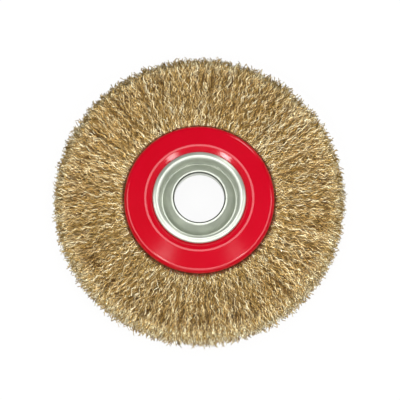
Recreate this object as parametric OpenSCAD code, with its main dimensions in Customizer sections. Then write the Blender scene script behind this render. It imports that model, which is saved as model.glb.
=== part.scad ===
/* [Hub eyelet] */
// Half of the hub's height, mid-plane to the flat land on the rolled rim (mm)
hub_half = 12.8; // [10:0.1:18]
// Inside radius of the eyelet's tube (mm)
tube_bore_r = 23.3; // [18:0.1:25]
// Sheet thickness of the eyelet (mm)
eyelet_sheet = 1.2; // [0.8:0.1:1.5]
// Height above the mid-plane where the tube starts to open (mm)
neck_z = 6.3; // [4:0.1:7.5]
// How far the bend into the rim is centred outside the tube's bore (mm)
flare_spread = 2.9; // [2:0.1:4]
// Radius of the bend into the rim, on its open side (mm)
bend_r = 1.5; // [1:0.1:2]
// Width of the flat land on top of the rolled rim (mm)
land_width = 1.1; // [0.4:0.1:1.6]
// Radius of the bead that the rim is rolled into (mm)
bead_r = 1.55; // [1.2:0.05:2]

/* [Side covers] */
// Outside radius of the pressed covers (mm)
cover_r = 46.2; // [42:0.1:55]
// Sheet thickness of the covers (mm)
cover_sheet = 0.9; // [0.6:0.1:1.2]
// Width of the dished band between the hub's bead and the crest (mm)
band_width = 4.2; // [3:0.1:6]
// How far the crest stands above the seat of the bead (mm)
crest_rise = 1.5; // [0.3:0.1:2]
// Radius that rounds the crest (mm)
crest_round = 2; // [1:0.1:2.6]
// Radius of the rolled-down outer edge (mm)
edge_roll_r = 3.4; // [2:0.1:5]
// Height of the upright stretch at the very edge, which stands on the wires (mm)
edge_foot = 0.3; // [0.1:0.1:1]
// How far the covers reach in under the bead (mm)
tuck = 2.7; // [2:0.1:3]

/* [Reducer ring] */
// Bore radius of the reducer ring (mm)
bore_r = 15.3; // [12:0.1:17]
// Sheet thickness of the reducer ring (mm)
reducer_sheet = 0.8; // [0.6:0.1:0.9]
// Radius of the folded lip around the bore (mm)
lip_r = 1.3; // [0.9:0.05:1.6]
// How far the lip stays below the rim's land (mm)
lip_drop = 0.6; // [0.2:0.1:2]
// Length of the collar below the lip (mm)
collar_length = 5.2; // [3:0.1:7]
// Height of the flat brim at the foot of the cone (mm)
valley_z = 4.2; // [2:0.1:6]
// Width of the brim between the tube wall and the cone (mm)
brim_width = 1; // [0.8:0.1:1.6]
// Length of the skirt pressed into the tube (mm)
skirt_length = 7; // [4:0.1:10]
// Clearance between skirt and tube (mm)
press_clearance = 0.05; // [0:0.01:0.3]

/* [Retaining ring] */
// Clearance between the tube and the wires folded round the ring (mm)
fold_to_tube = 2; // [1:0.1:4]
// Radius of the ring's wire (mm)
ring_wire_r = 2.9; // [2:0.1:3.2]
// Clearance between the ring and the folded wires (mm)
fold_clearance = 0.1; // [0:0.05:0.4]

/* [Wire fill] */
// Radius of the wheel over the longest wire ends (mm)
fill_r = 89.6; // [80:0.1:100]
// Half of the fill's thickness where the covers pinch it (mm)
pinch_half = 5; // [2.6:0.1:6]
// How far outside the covers the freed wires have sprung up (mm)
spring_reach = 2.2; // [1:0.1:4]
// How high the freed wires spring above the pinch (mm)
spring_rise = 1.3; // [0:0.1:2]
// Half of the fill's thickness at the rim (mm)
rim_half = 9.3; // [7:0.1:11]
// Locks of wire around each side of the ring
locks = 80; // [48:4:96]
// Share of the circle that the locks fill
lock_share = 0.62; // [0.5:0.01:0.66]
// Half waves of the crimp in a lock
waves = 5; // [4:1:8]
// Sideways swing of the crimp (mm)
crimp_swing = 0.8; // [0.4:0.1:1]
// Half of the slit between the two sets of legs (mm)
leg_gap = 0.2; // [0.1:0.05:0.5]
// Largest shortfall of a lock against the longest wire ends (mm)
tip_scatter = 2.4; // [0:0.1:4]

/* [Hidden] */
$fn = 96;

red = [0.84, 0.02, 0.15];
zinc = [0.66, 0.68, 0.62];
steel = [0.45, 0.46, 0.47];
brass = [0.66, 0.55, 0.37];

// centres of the eyelet's two bends: into the rim, and round the bead
bend = [tube_bore_r + flare_spread, hub_half - bend_r];
bead_x = bend[0] + land_width;
bead_z = hub_half - bead_r;
hub_r = bead_x + bead_r;
seat_z = hub_half - 2 * bead_r;

// the cover's crest, where the band meets the cone, and the centre of the edge roll
crest = [hub_r + band_width, seat_z + crest_rise];
roll = [cover_r - edge_roll_r, pinch_half + edge_foot];

// the reducer's lip
lip_x = bore_r + lip_r;
lip_z = hub_half - lip_drop - lip_r;
skirt_r = tube_bore_r - press_clearance;

// the fill leaves the covers here
root_r = cover_r + 0.6;
fold_r = ring_wire_r + fold_clearance + pinch_half;
ring_r = tube_bore_r + eyelet_sheet + fold_to_tube + fold_r;

function frac(x) = x - floor(x);

// points of an arc about c, from angle a to angle b
function arc(c, r, a, b, n = 8) = [for (i = [0:n]) let (t = a + (b - a) * i / n) c + r * [cos(t), sin(t)]];

// outline of a sheet of thickness t that lies to the left of a path
function unit(v) = v / norm(v);
function turned(v) = [-v[1], v[0]];
function miter(u, v) = let (m = unit(u + v)) m / (m * u);
function sheet(p, t) = let (
    e = [for (i = [0:len(p) - 2]) turned(unit(p[i + 1] - p[i]))],
    last = len(p) - 1)
    concat(p, [for (i = [last:-1:0])
        p[i] + t * (i == 0 ? e[0] : i == last ? e[last - 1] : miter(e[i - 1], e[i]))]);

// angle, seen from c, at which the tangent from p touches the circle of radius r about c
function touch(p, c, r, side) = atan2(p[1] - c[1], p[0] - c[0]) + side * acos(r / norm(p - c));

// pressed cover: flat seat, dished band, rounded crest, cone and rolled-down edge
module cover() {
    band = [hub_r - 0.6, seat_z];
    top = crest - [0, crest_round];
    inner = touch(band, top, crest_round, -1);
    cone = touch(top, roll, edge_roll_r - crest_round, -1);
    path = concat(
        [[hub_r - tuck, seat_z], band],
        arc(top, crest_round, inner, cone, 6),
        arc(roll, edge_roll_r, cone, 0, 8),
        [[cover_r, pinch_half]]);
    rotate_extrude() polygon(sheet(path, -cover_sheet));
}

module front_cover() color(red) cover();

module rear_cover() color(red) mirror([0, 0, 1]) cover();

// tube with both ends opened into a cone, bent outward and rolled into a bead over the cover
module hub_eyelet() {
    neck = [tube_bore_r, neck_z];
    lean = 360 + touch(neck, bend, bend_r, -1);
    along = unit(bend + bend_r * [cos(lean), sin(lean)] - neck);
    across = [along[1], -along[0]];
    half = concat(
        [neck],
        arc(bend, bend_r, lean, 90, 6),
        arc([bead_x, bead_z], bead_r, 90, -90, 12),
        [[neck[0] + ((seat_z - neck_z) * along[0] + eyelet_sheet) / along[1], seat_z],
            neck + eyelet_sheet * miter([1, 0], across)]);
    color(zinc) rotate_extrude()
        polygon(concat(half, [for (i = [len(half) - 1:-1:0]) [half[i][0], -half[i][1]]]));
}

// sheet ring: skirt in the tube, flat brim, steep cone, folded lip and short collar
module reducer_ring() {
    foot = [skirt_r - brim_width, valley_z];
    lean = touch(foot, [lip_x, lip_z], lip_r, 1);
    path = concat([[skirt_r, valley_z - skirt_length], [skirt_r, valley_z], foot],
        arc([lip_x, lip_z], lip_r, lean, 180, 7),
        [[bore_r, lip_z - collar_length]]);
    color(zinc) rotate_extrude() polygon(sheet(path, reducer_sheet));
}

// closed steel ring that the wires are folded round
module retaining_ring() {
    color(steel) rotate_extrude() translate([ring_r, 0]) circle(ring_wire_r, $fn = 24);
}

// outline of one lock of crimped wires seen from the side of the wheel: it sways, widens and frays
function lock(waves, length, w0, w1, phase) = let (
    step = length / waves,
    mid = [for (k = [1:waves - 1]) [(k + phase - 0.5) * step, (k % 2 == 0 ? 1 : -1) * crimp_swing]],
    end = (waves % 2 == 0 ? 0.4 : -0.4) * crimp_swing,
    low = [for (p = mid) [p[0], p[1] - (w0 + (w1 - w0) * p[0] / length) / 2]],
    high = [for (i = [len(mid) - 1:-1:0]) let (p = mid[i]) [p[0], p[1] + (w0 + (w1 - w0) * p[0] / length) / 2]])
    concat([[-4, -w0 / 2]], low,
        [[length, end - 0.38 * w1], [length - 3.4, end], [length - 0.8, end + 0.42 * w1]],
        high, [[-4, w0 / 2]]);

// the legs of the folded wires on one side of the ring, parted into locks and fanned out
module legs(turn) {
    w0 = lock_share * 2 * PI * root_r / locks;
    w1 = lock_share * 2 * PI * fill_r / locks;
    intersection() {
        rotate_extrude($fn = locks) polygon([
            [root_r - 4, leg_gap], [root_r - 4, pinch_half - 0.5], [root_r, pinch_half - 0.1],
            [root_r + spring_reach, pinch_half + spring_rise], [fill_r - 6, rim_half], [fill_r - 0.8, rim_half - 1.6],
            [fill_r - 3.2, rim_half * 0.5], [fill_r, rim_half * 0.22], [fill_r - 1.4, leg_gap]]);
        for (i = [0:locks - 1]) {
            k = i % (locks / 4);
            rotate([0, 0, (i + turn) * 360 / locks]) translate([root_r, 0, 0])
                linear_extrude(rim_half + 1) polygon(lock(waves,
                    fill_r - root_r - (k == 0 ? 0 : tip_scatter * frac(k * 0.381)), w0, w1,
                    0.5 * frac(k * 0.618)));
        }
    }
}

// packed fold round the retaining ring, with its two sets of legs
module wire_fill() {
    a = 90 - asin((fold_r - pinch_half) / 12);
    color(brass) union() {
        rotate_extrude($fn = locks) difference() {
            polygon(concat(
                arc([ring_r, 0], fold_r, -a, -360 + a, 12),
                [[cover_r - 2.4, pinch_half], [root_r, pinch_half],
                    [root_r, -pinch_half], [cover_r - 2.4, -pinch_half]]));
            translate([ring_r, 0]) circle(ring_wire_r + fold_clearance, $fn = 24);
        }
        legs(0);
        mirror([0, 0, 1]) legs(0.5);
    }
}

front_cover();
rear_cover();
hub_eyelet();
reducer_ring();
retaining_ring();
wire_fill();
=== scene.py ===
# %% [markdown]
# # A crimped wire wheel brush
# The imported model is loaded first and stays the frame of everything: each new piece is made at the place
# that the solids give it, in metres, so nothing has to be fitted afterwards. Its box is kept, because the
# dressed wheel may not grow out of it. Its box is kept and printed.

# %% Load the frame
import math
import bpy
import numpy as np
from mathutils import Matrix, Vector


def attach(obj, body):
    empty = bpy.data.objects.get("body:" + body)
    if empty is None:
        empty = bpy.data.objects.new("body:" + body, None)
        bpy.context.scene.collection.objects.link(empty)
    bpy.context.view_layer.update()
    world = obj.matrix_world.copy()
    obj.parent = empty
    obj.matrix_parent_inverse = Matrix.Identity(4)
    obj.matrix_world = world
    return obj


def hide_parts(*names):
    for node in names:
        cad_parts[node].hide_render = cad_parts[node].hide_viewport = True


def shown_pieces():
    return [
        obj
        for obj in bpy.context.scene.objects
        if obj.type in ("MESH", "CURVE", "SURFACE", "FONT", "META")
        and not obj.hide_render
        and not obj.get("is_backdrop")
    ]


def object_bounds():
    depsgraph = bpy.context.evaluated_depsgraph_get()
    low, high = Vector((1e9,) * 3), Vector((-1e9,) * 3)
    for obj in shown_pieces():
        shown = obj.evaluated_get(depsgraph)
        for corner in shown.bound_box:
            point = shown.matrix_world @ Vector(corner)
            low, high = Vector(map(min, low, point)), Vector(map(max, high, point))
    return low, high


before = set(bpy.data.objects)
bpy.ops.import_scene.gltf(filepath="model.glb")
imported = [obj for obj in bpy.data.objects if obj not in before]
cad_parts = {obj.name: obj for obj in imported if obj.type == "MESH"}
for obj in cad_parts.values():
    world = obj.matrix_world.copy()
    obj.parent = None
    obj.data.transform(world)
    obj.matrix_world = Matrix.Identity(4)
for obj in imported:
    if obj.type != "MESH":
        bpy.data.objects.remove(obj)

MM = 0.001
cad_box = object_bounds()
print("box of the solids (mm):", [[round(c / MM, 1) for c in corner] for corner in cad_box])


# %% [markdown]
# ## Two helpers for turned sheet parts
# The covers, the eyelet and the reducer ring were all drawn or rolled from sheet, so each is a profile turned
# about the wheel's axis. By hand one would put down a single point, extrude it from place to place along the
# profile, and spin the line once round. The first helper does that. The second gives the points of an arc, so
# that the bends are as round as the reflections in the photo need.

# %% Helpers: arc and turned
def arc(cx, cz, r, a, b, n=12):
    """Points of an arc about (cx, cz), from angle a to angle b in degrees."""
    return [(cx + r * math.cos(math.radians(a + (b - a) * i / n)),
             cz + r * math.sin(math.radians(a + (b - a) * i / n))) for i in range(n + 1)]


def clear_selection():
    if bpy.context.object and bpy.context.object.mode != "OBJECT":
        bpy.ops.object.mode_set(mode="OBJECT")
    bpy.ops.object.select_all(action="DESELECT")


def turned(name, profile, closed=True, steps=160):
    """A profile of (radius, height) in mm, traced point by point and spun round the axis."""
    clear_selection()
    start = Vector((profile[0][0] * MM, 0, profile[0][1] * MM))
    bpy.ops.mesh.primitive_plane_add(size=0.001, location=(0, 0, 0))
    piece = bpy.context.object
    piece.name = piece.data.name = name
    bpy.ops.object.mode_set(mode="EDIT")
    bpy.ops.mesh.select_all(action="SELECT")
    bpy.ops.mesh.merge(type="CENTER")
    bpy.ops.transform.translate(value=start)
    here = start
    for r, z in profile[1:] + (profile[:1] if closed else []):
        there = Vector((r * MM, 0, z * MM))
        bpy.ops.mesh.extrude_region_move(TRANSFORM_OT_translate={"value": there - here})
        here = there
    bpy.ops.mesh.select_all(action="SELECT")
    bpy.ops.mesh.remove_doubles(threshold=1e-6)
    bpy.ops.mesh.select_all(action="SELECT")
    bpy.ops.mesh.spin(steps=steps, angle=2 * math.pi, center=(0, 0, 0), axis=(0, 0, 1))
    bpy.ops.mesh.select_all(action="SELECT")
    bpy.ops.mesh.remove_doubles(threshold=1e-6)
    bpy.ops.mesh.normals_make_consistent(inside=False)
    bpy.ops.object.mode_set(mode="OBJECT")
    bpy.ops.object.shade_smooth_by_angle(angle=math.radians(40))
    print(name, "-", len(piece.data.polygons), "faces")
    return piece


# %% [markdown]
# ## The studio
# A pale floor under the wheel and a white surround. To the camera and in reflections the floor is nearly white
# by its colour, and it still takes some of the wheel's shadow.

# %% Floor and surround
lo, hi = cad_box
clear_selection()
bpy.ops.mesh.primitive_plane_add(size=6, location=(0, 0, lo[2]))
floor = bpy.context.object
floor.name = "studio_floor"
floor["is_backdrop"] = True


def new_material(name):
    """An empty node material, with its tree and a helper that adds a node."""
    made = bpy.data.materials.new(name)
    made.use_nodes = True
    tree = made.node_tree
    tree.nodes.clear()
    return made, tree


def add(tree, kind, **settings):
    """A node of that kind; settings name its properties, or with a leading in_ its sockets."""
    node = tree.nodes.new(kind)
    for key, value in settings.items():
        if key.startswith("in_"):
            node.inputs[key[3:].replace("_", " ")].default_value = value
        else:
            setattr(node, key, value)
    return node


floor_paint, tree = new_material("floor_white")
rays = add(tree, "ShaderNodeLightPath")
shaded = add(tree, "ShaderNodeBsdfDiffuse", in_Color=(0.92, 0.92, 0.92, 1))
plain = add(tree, "ShaderNodeEmission", in_Color=(1, 1, 1, 1), in_Strength=1.0)
seen = add(tree, "ShaderNodeMath", operation="MAXIMUM")
share = add(tree, "ShaderNodeMath", operation="MULTIPLY")
share.inputs[1].default_value = 0.92
blend = add(tree, "ShaderNodeMixShader")
out = add(tree, "ShaderNodeOutputMaterial")
tree.links.new(rays.outputs["Is Camera Ray"], seen.inputs[0])
tree.links.new(rays.outputs["Is Glossy Ray"], seen.inputs[1])
tree.links.new(seen.outputs[0], share.inputs[0])
tree.links.new(share.outputs[0], blend.inputs[0])
tree.links.new(shaded.outputs[0], blend.inputs[1])
tree.links.new(plain.outputs[0], blend.inputs[2])
tree.links.new(blend.outputs[0], out.inputs[0])
floor.data.materials.append(floor_paint)

surround = bpy.data.worlds.new("surround")
bpy.context.scene.world = surround
surround.use_nodes = True
tree = surround.node_tree
tree.nodes.clear()
rays = add(tree, "ShaderNodeLightPath")
soft = add(tree, "ShaderNodeBackground", in_Color=(0.99, 1.0, 0.97, 1), in_Strength=0.16)
tent = add(tree, "ShaderNodeBackground", in_Color=(0.99, 1.0, 0.97, 1), in_Strength=0.04)
white = add(tree, "ShaderNodeBackground", in_Color=(1, 1, 1, 1), in_Strength=1.0)
mirrored = add(tree, "ShaderNodeMixShader")
blend = add(tree, "ShaderNodeMixShader")
out = add(tree, "ShaderNodeOutputWorld")
tree.links.new(rays.outputs["Is Glossy Ray"], mirrored.inputs[0])
tree.links.new(soft.outputs[0], mirrored.inputs[1])
tree.links.new(tent.outputs[0], mirrored.inputs[2])
tree.links.new(rays.outputs["Is Camera Ray"], blend.inputs[0])
tree.links.new(mirrored.outputs[0], blend.inputs[1])
tree.links.new(white.outputs[0], blend.inputs[2])
tree.links.new(blend.outputs[0], out.inputs[0])


# %% [markdown]
# ## Camera
# The photo looks almost straight down on the wheel: its circles are 2.5 % shorter than they are wide, which is
# a tilt of 12.7 degrees off the axis, and they hardly converge, so the lens is long. One pixel of the
# 400-pixel frame is 0.615 mm on the wheel.

# %% Camera
PIXEL = 0.6154 * MM
TILT = math.radians(12.7)
DISTANCE = 1.8
aim = Vector((0.7 * PIXEL, 1.6 * PIXEL / math.cos(TILT), 0))
camera_data = bpy.data.cameras.new("camera")
camera_data.sensor_width = 36
camera_data.lens = 36 * DISTANCE / (400 * PIXEL)
camera = bpy.data.objects.new("camera", camera_data)
bpy.context.collection.objects.link(camera)
camera.location = aim + Vector((0, -math.sin(TILT), math.cos(TILT))) * DISTANCE
camera.rotation_euler = (TILT, 0, 0)
bpy.context.scene.camera = camera
bpy.context.scene.view_settings.view_transform = "Standard"
print("lens", round(camera_data.lens, 1), "mm")


# %% [markdown]
# ## Lamps
# A gloss paint is a mirror for lamps, so the bright lines of the photo tell where its lamps stood. A flat ring of
# the hub mirrors the spot that lies as far beyond the upright as the camera lies before it, and that direction is
# taken as the axis here. One round softbox sits on it and draws the line along the crest. A horseshoe of
# panels around the front draws the line along the rolled edge, and two small strobes give the two white spots.

# %% Lamps
def softbox(name, off_axis, around, wide, tall, glow, shape="RECTANGLE"):
    """A lamp 1.1 m away: degrees off the axis, degrees clockwise from the back, size in metres, brightness."""
    lamp = bpy.data.lights.new(name, "AREA")
    lamp.shape, lamp.size, lamp.size_y = shape, wide, tall
    area = wide * tall * (math.pi / 4 if shape == "ELLIPSE" else 1)
    lamp.energy = glow * math.pi * area
    holder = bpy.data.objects.new(name, lamp)
    bpy.context.collection.objects.link(holder)
    holder.matrix_world = (Matrix.Rotation(-TILT, 4, "X") @ Matrix.Rotation(-math.radians(around), 4, "Z")
                           @ Matrix.Rotation(-math.radians(off_axis), 4, "X") @ Matrix.Translation((0, 0, 1.1)))
    print(name, round(lamp.energy, 2), "W at", [round(v, 2) for v in holder.matrix_world.translation])
    return holder


softbox("overhead", 0, 0, 0.86, 0.86, 3.2, "ELLIPSE")
for k, (around, glow) in enumerate(((100, 2.7), (141, 2.4), (182, 2.9), (223, 2.4), (264, 2.7))):
    softbox(f"horseshoe_{k + 1}", 48.5, around, 0.59, 0.44, glow)
softbox("window", 50, 35, 0.26, 0.40, 4.5)
softbox("front_low", 74, 180, 1.0, 0.3, 1.3)
softbox("left_strobe", 35.6, 213, 0.13, 0.05, 42)
softbox("right_strobe", 35.6, 145, 0.13, 0.045, 30)


# %% [markdown]
# ## Finishes of the hub
# The covers are stoved with a glossy red paint. It is nearly even, with the faint orange-peel that such paint
# has. The eyelet and the reducer ring are zinc-plated steel: a greenish grey metal with fine turning marks that
# run round the axis, and slight blotches from the plating bath. Rings round the axis are made from the
# distance to it, so the pattern sits on Object coordinates. The turn of the lip into the bore is painted dark,
# as painted shade.

# %% Red paint
def bump_from(tree, height, strength, distance):
    bump = add(tree, "ShaderNodeBump", in_Strength=strength, in_Distance=distance)
    tree.links.new(height, bump.inputs["Height"])
    return bump.outputs["Normal"]


red_paint, tree = new_material("red_paint")
place = add(tree, "ShaderNodeTexCoord")
peel = add(tree, "ShaderNodeTexNoise", in_Scale=900.0, in_Detail=2.0)
cloud = add(tree, "ShaderNodeTexNoise", in_Scale=35.0, in_Detail=3.0)
tones = add(tree, "ShaderNodeValToRGB")
tones.color_ramp.elements[0].position, tones.color_ramp.elements[1].position = 0.35, 0.65
tones.color_ramp.elements[0].color = (0.50, 0.0001, 0.010, 1)
tones.color_ramp.elements[1].color = (0.53, 0.0002, 0.013, 1)
paint = add(tree, "ShaderNodeBsdfPrincipled", in_Roughness=0.13, in_Metallic=0.0)
paint.inputs["Specular IOR Level"].default_value = 0.62
out = add(tree, "ShaderNodeOutputMaterial")
tree.links.new(place.outputs["Object"], peel.inputs["Vector"])
tree.links.new(place.outputs["Object"], cloud.inputs["Vector"])
tree.links.new(cloud.outputs["Fac"], tones.inputs["Fac"])
tree.links.new(tones.outputs["Color"], paint.inputs["Base Color"])
tree.links.new(bump_from(tree, peel.outputs["Fac"], 0.05, 0.00005), paint.inputs["Normal"])
tree.links.new(paint.outputs[0], out.inputs[0])

# %% Zinc plate and plain steel
def plated(name, dark, light, roughness, metallic, shade_band_r):
    made, tree = new_material(name)
    place = add(tree, "ShaderNodeTexCoord")
    split = add(tree, "ShaderNodeSeparateXYZ")
    flat = add(tree, "ShaderNodeCombineXYZ")
    reach = add(tree, "ShaderNodeVectorMath", operation="LENGTH")
    rings = add(tree, "ShaderNodeCombineXYZ")
    marks = add(tree, "ShaderNodeTexNoise", in_Scale=2600.0, in_Detail=3.0)
    bath = add(tree, "ShaderNodeTexNoise", in_Scale=120.0, in_Detail=4.0)
    tones = add(tree, "ShaderNodeValToRGB")
    tones.color_ramp.elements[0].position, tones.color_ramp.elements[1].position = 0.3, 0.7
    tones.color_ramp.elements[0].color = dark
    tones.color_ramp.elements[1].color = light
    metal = add(tree, "ShaderNodeBsdfPrincipled", in_Roughness=roughness, in_Metallic=metallic)
    out = add(tree, "ShaderNodeOutputMaterial")
    link = tree.links.new
    link(place.outputs["Object"], split.inputs[0])
    link(split.outputs["X"], flat.inputs["X"])
    link(split.outputs["Y"], flat.inputs["Y"])
    link(flat.outputs[0], reach.inputs[0])
    link(reach.outputs["Value"], rings.inputs["X"])
    link(split.outputs["Z"], rings.inputs["Y"])
    link(rings.outputs[0], marks.inputs["Vector"])
    link(place.outputs["Object"], bath.inputs["Vector"])
    link(bath.outputs["Fac"], tones.inputs["Fac"])
    # Painted shade: a dark band round the lip's turn into the bore, multiplied into the base colour.
    inside = add(tree, "ShaderNodeMapRange")
    inside.inputs["From Min"].default_value = (shade_band_r - 0.8) * MM
    inside.inputs["From Max"].default_value = (shade_band_r + 0.4) * MM
    painted_shade_band = add(tree, "ShaderNodeValToRGB")
    painted_shade_band.color_ramp.elements[0].position, painted_shade_band.color_ramp.elements[0].color = 0.10, (1, 1, 1, 1)
    painted_shade_band.color_ramp.elements[1].position, painted_shade_band.color_ramp.elements[1].color = 0.95, (1, 1, 1, 1)
    for stop in (0.17, 0.68):
        painted_shade_band.color_ramp.elements.new(stop).color = (0.16, 0.16, 0.16, 1)
    painted_shade_mix = add(tree, "ShaderNodeMix", data_type="RGBA", blend_type="MULTIPLY")
    painted_shade_mix.inputs["Factor"].default_value = 1.0
    link(reach.outputs["Value"], inside.inputs["Value"])
    link(inside.outputs["Result"], painted_shade_band.inputs["Fac"])
    link(tones.outputs["Color"], painted_shade_mix.inputs["A"])
    link(painted_shade_band.outputs["Color"], painted_shade_mix.inputs["B"])
    link(painted_shade_mix.outputs["Result"], metal.inputs["Base Color"])
    link(bump_from(tree, marks.outputs["Fac"], 0.25, 0.00003), metal.inputs["Normal"])
    link(metal.outputs[0], out.inputs[0])
    return made


zinc_plate = plated("zinc_plate", (0.50, 0.53, 0.46, 1), (0.60, 0.63, 0.55, 1), 0.3, 0.6, 16.0)
plain_steel = plated("plain_steel", (0.38, 0.38, 0.38, 1), (0.48, 0.48, 0.48, 1), 0.35, 1.0, 0.0)
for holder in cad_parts["retaining_ring"].material_slots:
    holder.material = plain_steel


# %% [markdown]
# ## The covers
# Each cover is one pressed disc. From the bead of the hub a narrow band dips and rises again to a rounded
# crest, a shallow cone falls away from it, and the outer edge is rolled down onto the wires. The line of the
# pressing is traced and turned, and a Solidify modifier gives it the thickness of the sheet. The rear cover is
# the same pressing turned over.

# %% Covers
def touch(px, pz, cx, cz, r, side):
    """Angle at which the tangent from a point touches a circle, as seen from its centre."""
    reach = math.hypot(px - cx, pz - cz)
    return math.degrees(math.atan2(pz - cz, px - cx) + side * math.acos(r / reach))


HUB_R, SEAT_Z, SHEET = 28.85, 9.7, 0.9
COVER_R, PINCH, EDGE_ROLL, EDGE_FOOT, CREST_ROUND, SOFT_CREST = 46.2, 5.0, 3.4, 0.3, 2.0, 3.2
crest_r, crest_z = HUB_R + 4.2, SEAT_Z + 1.5
band = (HUB_R - 0.6, SEAT_Z)
roll_z = PINCH + EDGE_FOOT
cone = touch(crest_r, crest_z - CREST_ROUND, COVER_R - EDGE_ROLL, roll_z, EDGE_ROLL - CREST_ROUND, -1)
inner = touch(*band, crest_r, crest_z - CREST_ROUND, CREST_ROUND, -1)
half_turn = math.radians((inner - cone) / 2)
bisector = math.radians((inner + cone) / 2)
drop = (SOFT_CREST - CREST_ROUND) / math.cos(half_turn)
soft_r, soft_z = crest_r - drop * math.cos(bisector), crest_z - CREST_ROUND - drop * math.sin(bisector)


def between(start, end, mm):
    """The point that lies so many mm from start on the way to end."""
    step = mm / math.dist(start, end)
    return (start[0] + (end[0] - start[0]) * step, start[1] + (end[1] - start[1]) * step)


crest_line = arc(soft_r, soft_z, SOFT_CREST, inner, cone, 10)
roll_line = arc(COVER_R - EDGE_ROLL, roll_z, EDGE_ROLL, cone, 0, 12)
pressing = ([(HUB_R - 2.7, SEAT_Z), band, between(band, crest_line[0], 0.2),
             between(crest_line[0], band, 0.15)] + crest_line
            + [between(crest_line[-1], roll_line[0], 0.15), between(roll_line[0], crest_line[-1], 0.15)]
            + roll_line + [(COVER_R, PINCH)])
print("cone falls at", round(90 - cone, 1), "degrees")


def cover(name, side):
    line = [(r, z * side) for r, z in pressing]
    piece = turned(name, line, closed=False, steps=160)
    sheet = piece.modifiers.new("sheet", "SOLIDIFY")
    sheet.thickness = SHEET * MM
    sheet.offset = -1
    sheet.use_even_offset = True
    clear_selection()
    bpy.context.view_layer.objects.active = piece
    piece.select_set(True)
    bpy.ops.object.modifier_apply(modifier=sheet.name)
    piece.data.materials.append(red_paint)
    return piece


front_cover = cover("front_cover_pressing", 1)
rear_cover = cover("rear_cover_pressing", -1)
for piece, node in ((front_cover, "front_cover"), (rear_cover, "rear_cover")):
    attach(piece, "root")
    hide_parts(node)


# %% [markdown]
# ## The hub eyelet and the reducer ring
# The eyelet is a tube whose two ends open into a cone, bend outward over the covers and are rolled into a
# bead. The reducer ring sits in its front end: a skirt along the tube, a narrow flat brim, a steep cone up to
# a folded lip, and a short collar that gives the wheel its bore. Both are closed profiles, turned.

# %% Eyelet and reducer ring
TUBE_R, NECK_Z, WALL, BEND = 23.3, 6.3, 1.2, 1.9
bend_x, bend_z, bead_z = 26.05, 10.9, 11.25
lean = 360 + touch(TUBE_R, NECK_Z, bend_x, bend_z, BEND, -1)
along = (Vector((bend_x, bend_z)) + BEND * Vector((math.cos(math.radians(lean)), math.sin(math.radians(lean))))
         - Vector((TUBE_R, NECK_Z))).normalized()
half = ([(TUBE_R, NECK_Z)] + arc(bend_x, bend_z, BEND, lean, 70, 10)
        + arc(27.538, bead_z, 1.062, 70, 0, 6)[:-1] + arc(27.05, bead_z, 1.55, 0, -90, 6)
        + [(TUBE_R + ((SEAT_Z - NECK_Z) * along.x + WALL) / along.y, SEAT_Z),
           (TUBE_R + WALL, NECK_Z - WALL * along.x / (1 + along.y))])
eyelet = turned("eyelet_rolled", half + [(r, -z) for r, z in reversed(half)], steps=160)

LIP, BRIM, lip_x, lip_z, skirt_r, valley = 1.3, 1.0, 16.6, 10.9, 23.25, 4.2
lean = touch(skirt_r - BRIM, valley, lip_x, lip_z, LIP, 1)
fillet, corner = 0.6, 0.2
foot = skirt_r - BRIM + fillet * math.tan(math.radians(90 - lean) / 2)
ring_line = ([(skirt_r, valley - 7)] + arc(skirt_r - corner, valley - corner, corner, 0, 90, 3)
             + arc(foot, valley + fillet, fillet, -90, lean - 180, 4)
             + arc(lip_x, lip_z, LIP, lean, 180, 10) + [(15.3, lip_z - 5.2)])
edges = [Vector((b[0] - a[0], b[1] - a[1])).normalized() for a, b in zip(ring_line, ring_line[1:])]
inside = []
for i, (r, z) in enumerate(ring_line):
    before, after = edges[max(i - 1, 0)], edges[min(i, len(edges) - 1)]
    mean = (before + after).normalized()
    push = 0.8 / mean.dot(after)
    inside.append((r - mean.y * push, z + mean.x * push))
reducer = turned("reducer_folded", ring_line + inside[::-1], steps=144)
for piece, node in ((eyelet, "hub_eyelet"), (reducer, "reducer_ring")):
    piece.data.materials.append(zinc_plate)
    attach(piece, "root")
    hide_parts(node)
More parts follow.
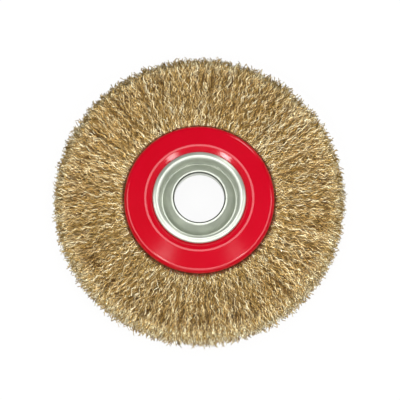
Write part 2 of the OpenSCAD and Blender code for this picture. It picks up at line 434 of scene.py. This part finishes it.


# %% [markdown]
# ## The finish of the wires
# Crimped steel wire with a thin brass coat. Every wire carries its own number in an attribute called tint,
# which makes one wire paler than the next, and a second attribute of painted shade that is 1 at the surface and
# lower deep in the fill and beside the covers, lifted again towards the rim. The rim wires, and the wires just
# beside the covers' edge, get a paler tint as painted light.

# %% Brass-coated wire
def wire_finish(name, dark, mid, light, roughness):
    made, tree = new_material(name)
    tint = add(tree, "ShaderNodeAttribute", attribute_name="tint")
    painted_shade = add(tree, "ShaderNodeAttribute", attribute_name="painted_shade")
    place = add(tree, "ShaderNodeTexCoord")
    wear = add(tree, "ShaderNodeTexNoise", in_Scale=700.0, in_Detail=2.0)
    mixed = add(tree, "ShaderNodeMath", operation="MULTIPLY_ADD")
    mixed.inputs[1].default_value = 0.35
    tones = add(tree, "ShaderNodeValToRGB")
    ramp = tones.color_ramp
    ramp.elements[0].position, ramp.elements[0].color = 0.26, dark
    ramp.elements[1].position, ramp.elements[1].color = 1.0, light
    ramp.elements.new(0.62).color = mid
    shade = add(tree, "ShaderNodeMix", data_type="RGBA", blend_type="MULTIPLY")
    shade.inputs["Factor"].default_value = 1.0
    # Painted shade: the colour is multiplied by a ramp from dark brown, where the shade attribute is 0, to white.
    level = add(tree, "ShaderNodeValToRGB")
    level.color_ramp.elements[0].color = (0.16, 0.08, 0.02, 1)
    level.color_ramp.elements[1].color = (1, 1, 1, 1)
    level.color_ramp.elements.new(0.55).color = (0.62, 0.52, 0.37, 1)
    metal = add(tree, "ShaderNodeBsdfPrincipled", in_Roughness=roughness, in_Metallic=0.85)
    out = add(tree, "ShaderNodeOutputMaterial")
    link = tree.links.new
    link(place.outputs["Object"], wear.inputs["Vector"])
    link(wear.outputs["Fac"], mixed.inputs[0])
    link(tint.outputs["Fac"], mixed.inputs[2])
    link(mixed.outputs[0], tones.inputs["Fac"])
    link(painted_shade.outputs["Fac"], level.inputs["Fac"])
    link(tones.outputs["Color"], shade.inputs["A"])
    link(level.outputs["Color"], shade.inputs["B"])
    link(shade.outputs["Result"], metal.inputs["Base Color"])
    link(metal.outputs[0], out.inputs[0])
    return made


wire_brass = wire_finish("wire_brass", (0.19, 0.10, 0.016, 1), (0.62, 0.43, 0.145, 1),
                         (1.0, 0.93, 0.68, 1), 0.25)


# %% [markdown]
# ## The imported middle of the fill
# Between the faces the wires are packed so tightly that no light gets through. That inner mass is one turned
# body a little smaller than the fill, from the fold round the retaining ring out to just short of the wire
# ends. Its finish is a pattern of crossing wires in dark browns, painted shade, that shows in the gaps of the
# wires above it.

# %% Packed middle
FAN_ROOT, RIM_R, RIM_HALF = 46.8, 89.6, 9.3
core_half = [(27.0, 0.0), (28.0, 4.0), (30.5, 6.6), (34.5, 7.6), (39.0, 6.0), (44.0, 4.6), (46.8, 4.3),
             (50.0, 4.9), (62.0, 5.6), (74.0, 6.2), (80.0, 6.4), (83.0, 5.6), (84.4, 3.6), (85.0, 0.0)]
middle = turned("packed_wires", core_half + [(r, -z) for r, z in core_half[-2:0:-1]], steps=96)
core_wire_painted_shade, tree = new_material("packed_wire")
link = tree.links.new
place = add(tree, "ShaderNodeTexCoord")
split = add(tree, "ShaderNodeSeparateXYZ")
flat = add(tree, "ShaderNodeCombineXYZ")
reach = add(tree, "ShaderNodeVectorMath", operation="LENGTH")
angle = add(tree, "ShaderNodeMath", operation="ARCTAN2")
warp = add(tree, "ShaderNodeTexNoise", in_Scale=260.0, in_Detail=1.0)
wave = add(tree, "ShaderNodeMath", operation="MULTIPLY_ADD")
wave.inputs[1].default_value = 1150.0
crimp = add(tree, "ShaderNodeMath", operation="SINE")
sway = add(tree, "ShaderNodeMath", operation="MULTIPLY_ADD")
sway.inputs[1].default_value = 0.013
strand = add(tree, "ShaderNodeCombineXYZ")
stretch = add(tree, "ShaderNodeVectorMath", operation="MULTIPLY")
stretch.inputs[1].default_value = (105.0, 260.0, 260.0)
grain = add(tree, "ShaderNodeTexNoise", in_Scale=1.0, in_Detail=2.0)
turns = add(tree, "ShaderNodeMath", operation="MULTIPLY")
turns.inputs[1].default_value = 14.0
link(place.outputs["Object"], split.inputs[0])
link(split.outputs["X"], flat.inputs["X"])
link(split.outputs["Y"], flat.inputs["Y"])
link(flat.outputs[0], reach.inputs[0])
link(split.outputs["Y"], angle.inputs[0])
link(split.outputs["X"], angle.inputs[1])
link(place.outputs["Object"], warp.inputs["Vector"])
link(warp.outputs["Fac"], turns.inputs[0])
link(reach.outputs["Value"], wave.inputs[0])
link(turns.outputs[0], wave.inputs[2])
link(wave.outputs[0], crimp.inputs[0])
link(crimp.outputs[0], sway.inputs[0])
link(angle.outputs[0], sway.inputs[2])
link(sway.outputs[0], strand.inputs["X"])
link(reach.outputs["Value"], strand.inputs["Y"])
link(split.outputs["Z"], strand.inputs["Z"])
link(strand.outputs[0], stretch.inputs[0])
link(stretch.outputs[0], grain.inputs["Vector"])
# Painted shade: the crossing wires of the packed middle are painted in dark browns.
tones = add(tree, "ShaderNodeValToRGB")
tones.color_ramp.elements[0].position, tones.color_ramp.elements[1].position = 0.36, 0.66
tones.color_ramp.elements[0].color = (0.03, 0.014, 0.003, 1)
tones.color_ramp.elements[1].color = (0.42, 0.25, 0.08, 1)
mass = add(tree, "ShaderNodeBsdfPrincipled", in_Roughness=0.45, in_Metallic=0.5)
out = add(tree, "ShaderNodeOutputMaterial")
link(grain.outputs["Fac"], tones.inputs["Fac"])
link(tones.outputs["Color"], mass.inputs["Base Color"])
link(bump_from(tree, grain.outputs["Fac"], 0.9, 0.0008), mass.inputs["Normal"])
link(mass.outputs[0], out.inputs[0])
middle.data.materials.append(core_wire_painted_shade)
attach(middle, "root")
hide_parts("wire_fill")


# %% [markdown]
# ## One wire, and many copies of it
# A single straight wire is modelled: a three-sided ring of points, extruded on and on, which is all the
# section that a wire half a millimetre thick can show. The crimp is then put on ring by ring: each ring
# is moved sideways in a wave. Every copy gets its own start of the wave, its own plane, length, slope and tint,
# which is how the real wires lie, because they were crimped as one long strand and cut at random.

# %% One straight wire
def straight_wire(rings):
    clear_selection()
    bpy.ops.mesh.primitive_circle_add(vertices=3, radius=1, fill_type="NGON", location=(0, 0, 0))
    wire = bpy.context.object
    bpy.ops.object.mode_set(mode="EDIT")
    bpy.ops.mesh.select_all(action="SELECT")
    for _ in range(rings - 1):
        bpy.ops.mesh.extrude_region_move(TRANSFORM_OT_translate={"value": (0, 0, 1)})
    bpy.ops.mesh.select_all(action="SELECT")
    bpy.ops.mesh.normals_make_consistent(inside=False)
    bpy.ops.object.mode_set(mode="OBJECT")
    points = np.array([v.co[:] for v in wire.data.vertices])
    faces = [tuple(f.vertices) for f in wire.data.polygons]
    bpy.data.objects.remove(wire)
    return points, faces


# %% Crimp and copy
rng = np.random.default_rng(7)


def lay_wires(name, rings, thick, theta, root, tip, z_root, z_tip, swing, yaw, bow, weave, spring=0, painted_light_lift=0):
    """Copies of the straight wire, crimped and laid from root to tip. All lengths in mm, one value a wire."""
    count = len(theta)
    points, faces = straight_wire(rings)
    inner = (points[:, 2] > 0) & (points[:, 2] < rings - 1)
    along = (points[None, :, 2] + rng.uniform(-0.5, 0.5, count)[:, None] * inner) / (rings - 1)
    run = (tip - root)[:, None] * along
    radius = root[:, None] + run
    plane = rng.uniform(-1.2, 1.2, count)[:, None]
    freed = 1 - np.exp(-np.maximum(radius - COVER_R - 0.1, 0) / 0.8)
    wave = swing[:, None] * freed * np.cos(math.pi * points[None, :, 2]) * rng.choice((-1, 1), count)[:, None]
    wave = wave * np.repeat(rng.uniform(0.6, 1.3, (count, rings)), 3, axis=1)
    dive = np.repeat(rng.uniform(-1, 1, (count, rings)), 3, axis=1)
    side = wave * np.cos(plane) + yaw[:, None] * run + bow[:, None] * along * (1 - along)
    lift = 0.6 * wave * np.sin(plane) + freed * weave[:, None] * dive
    height = z_root[:, None] + (z_tip - z_root)[:, None] * along + lift
    sprung = 1 - np.exp(-np.maximum(radius - COVER_R, 0) / 6.0)
    height = height + spring * sprung * np.exp(-(radius - COVER_R) / 25)
    side = side + points[None, :, 0] * thick[:, None]
    height = height + points[None, :, 1] * thick[:, None]
    c, s = np.cos(theta)[:, None], np.sin(theta)[:, None]
    xyz = np.stack([radius * c - side * s, radius * s + side * c, height], axis=-1) * MM
    each = len(points)
    mesh = bpy.data.meshes.new(name)
    flat = np.array([f for f in faces if len(f) == 4])
    ends = np.array([f for f in faces if len(f) == 3])
    shift = (np.arange(count) * each)[:, None, None]
    quads = (flat[None] + shift).reshape(-1, 4)
    tris = (ends[None] + shift).reshape(-1, 3)
    mesh.vertices.add(count * each)
    mesh.vertices.foreach_set("co", xyz.reshape(-1))
    mesh.loops.add(quads.size + tris.size)
    mesh.loops.foreach_set("vertex_index", np.concatenate([quads.reshape(-1), tris.reshape(-1)]))
    mesh.polygons.add(len(quads) + len(tris))
    starts = np.concatenate([np.arange(len(quads)) * 4, quads.size + np.arange(len(tris)) * 3])
    mesh.polygons.foreach_set("loop_start", starts)
    mesh.update(calc_edges=True)
    mesh.polygons.foreach_set("use_smooth", np.ones(len(mesh.polygons), dtype=bool))
    tint = mesh.attributes.new("tint", "FLOAT", "POINT")
    tone = rng.uniform(0, 1, count)[:, None] * 0.5 + rng.uniform(0, 1, (count, rings)) * 0.5
    # Painted light: the tint is raised near the covers' edge, and raised for every ring by the lift passed in.
    tone = tone + 0.10 * np.exp(-np.maximum(radius[:, ::3] - COVER_R, 0) / 2.0)
    tint.data.foreach_set("value", np.repeat(tone.reshape(-1) + painted_light_lift, 3))
    piece = bpy.data.objects.new(name, mesh)
    bpy.context.collection.objects.link(piece)
    mesh.materials.append(wire_brass)
    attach(piece, "root")
    print(name, "-", count, "wires,", len(quads) * 2 + len(tris), "triangles")
    return piece, height.reshape(-1), radius.reshape(-1)


def give_painted_shade(piece, value):
    painted_shade = piece.data.attributes.new("painted_shade", "FLOAT", "POINT")
    painted_shade.data.foreach_set("value", np.clip(value, 0, 1))


# %% [markdown]
# ## Wires of the two faces
# These come out from under the rolled edge of the cover, spring up beside it and lie over each other out to
# the rim. The circle widens on the way out, so a second set, which starts part of the way out, fills the gaps.
# No piece grows too heavy in this way.

# %% Face wires
def spread(count):
    """Angles that cover the circle evenly and still at random."""
    return 2 * math.pi * (rng.permutation(count) + rng.uniform(0, 1, count)) / count


def face_wires(name, side, count, from_r, from_spread, rings):
    root = from_r + rng.uniform(0, from_spread, count)
    tip = RIM_R - 2.4 + rng.normal(0, 1.45, count).clip(-4.0, 3.8)
    deep = rng.uniform(0, 1, count)
    share = (root - 45) / (RIM_R - 45)
    z_tip = side * (RIM_HALF - 1.1 - 2.4 * deep)
    z_root = side * (PINCH - 0.35 - 0.6 * deep) * (1 - share) + z_tip * share
    piece, height, radius = lay_wires(
        name, rings, np.full(count, 0.33), spread(count), root, tip, z_root, z_tip,
        rng.uniform(0.8, 1.4, count), rng.normal(0, 0.12, count),
        rng.normal(0, 3.5, count), rng.uniform(0.5, 1.3, count), spring=side * 1.1 * (from_r < 50))
    sprung = 1 - np.exp(-np.maximum(radius - COVER_R, 0) / 6.0)
    surface = PINCH - 0.5 + 1.7 * sprung + (RIM_HALF - PINCH - 1.4) * (radius - COVER_R) / (RIM_R - COVER_R)
    # Painted light and shade: wires below the face surface and near the covers are darkened, wires towards the
    # rim lightened.
    painted_rim_light = 1.3 * np.clip((radius - (RIM_R - 7.2)) / 4.5, 0, 1)
    shaded = 0.26 * np.exp(-np.maximum(radius - COVER_R, 0) / 9.0)
    out = (radius - COVER_R) / (RIM_R - COVER_R)
    give_painted_shade(piece, 0.85 + 0.3 * out + (height * side - surface) / 2.3 + painted_rim_light - shaded)
    return piece


face_pieces = []
for where, side in (("front", 1), ("rear", -1)):
    face_pieces.append(face_wires(f"{where}_wires_long", side, 1900, 45.5, 0.7, 15))
    face_pieces.append(face_wires(f"{where}_wires_short", side, 3000, 56.0, 22.0, 9))


# %% [markdown]
# ## Wires of the rim
# Seen from the side the wheel is a wall of cut wire ends. Short wires cover it, their ends scattered in and out
# by a few millimetres and rounded off towards the two faces.

# %% Rim wires
def rim_wires(name, count):
    level = rng.uniform(-1, 1, count)
    fall = 1.2 * np.abs(level) ** 5
    tip = RIM_R - 3.3 - fall + rng.normal(0, 1.4, count).clip(-4.5, 4.4)
    root = tip - rng.uniform(11, 15, count)
    z_tip = level * (RIM_HALF - 0.5)
    z_root = z_tip * (1 - 12.0 / (RIM_R - 20))
    # Painted light: the rim wires get a much paler tint.
    piece, height, radius = lay_wires(
        name, 6, np.full(count, 0.25), spread(count), root, tip, z_root, z_tip,
        rng.uniform(0.5, 0.9, count), rng.normal(0, 0.14, count),
        rng.normal(0, 1.0, count), rng.uniform(0.0, 0.4, count), painted_light_lift=0.75)
    # Painted shade: the rim wires darken towards their roots, deeper in the fill.
    give_painted_shade(piece, (radius - (RIM_R - 11.5)) / 8.5)
    return piece


rim_pieces = [rim_wires(f"rim_wires_{k}", 3900) for k in (1, 2)]


# %% [markdown]
# ## Triangle count
# The triangles of the new pieces are counted.

# %% Finish
added = sum(len(o.data.loop_triangles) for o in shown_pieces() if not o.data.calc_loop_triangles()
            and o.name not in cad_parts)
print("triangles in the new pieces:", added)
